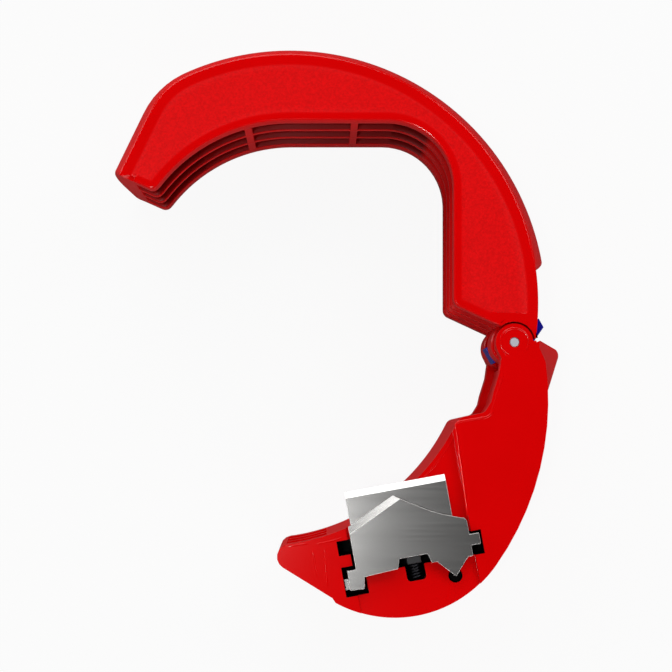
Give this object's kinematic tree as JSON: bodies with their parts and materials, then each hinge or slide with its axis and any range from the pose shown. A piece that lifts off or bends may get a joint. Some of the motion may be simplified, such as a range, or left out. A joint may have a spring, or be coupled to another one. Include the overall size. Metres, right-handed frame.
{
  "type": "pvc pipe cutter",
  "caption": "Compact hinged cutter for plastic waste pipe: a ribbed round cradle, a blade arm with two flat steel blades, a hinge pin and a small sliding lock.",
  "frame": {"origin": "middle of the footprint on the back face that the tool lies on, arms fully open", "axes": "+Z from the back face to the front face with the blades, along the hinge axis; +Y from the blade arm to the cradle; +X from the cradle's open end to the hinge"},
  "size_m": [0.0717, 0.0898, 0.0226],
  "materials": {
    "red_plastic": "moulded nylon, glossy rim and fine textured panels",
    "blade_steel": "ground",
    "pin_steel": "satin",
    "spring_steel": "drawn wire",
    "black_spring_steel": "blackened wire",
    "blue_plastic": "moulded",
    "black_plastic": "moulded"
  },
  "bodies": {
    "upper": {"upper_arm": "red_plastic", "lock_spring": "spring_steel"},
    "lower": {"lower_arm": "red_plastic", "hinge_pin": "pin_steel", "opening_spring": "spring_steel", "pipe_blade": "blade_steel", "blade_dowels": "pin_steel", "blade_spring": "black_spring_steel"},
    "lock": {"lock_bar": "blue_plastic"},
    "blade": {"sleeve_blade": "blade_steel", "spring_plunger": "black_plastic"}
  },
  "joints": [
    {"name": "hinge", "type": "hinge", "parent": "upper", "child": "lower", "pos_m": [0.02762, -0.00225, 0.011], "axis": [0, 0, -1], "range_deg": [0, 84], "stiffness_Nm_per_rad": 0.006, "springref_deg": -20.05, "deforming": ["opening_spring"]},
    {"name": "lock_slide", "type": "slide", "parent": "upper", "child": "lock", "axis": [-0.8746, -0.4848, 0], "range_m": [0, 0.001], "stiffness_N_per_m": 1500, "springref_m": -0.0003, "deforming": ["lock_spring"]},
    {"name": "blade_slide", "type": "slide", "parent": "lower", "child": "blade", "axis": [0.1788, -0.9839, 0], "range_m": [0, 0.0005], "stiffness_N_per_m": 1500, "springref_m": -0.0003, "deforming": ["blade_spring"]}
  ]
}
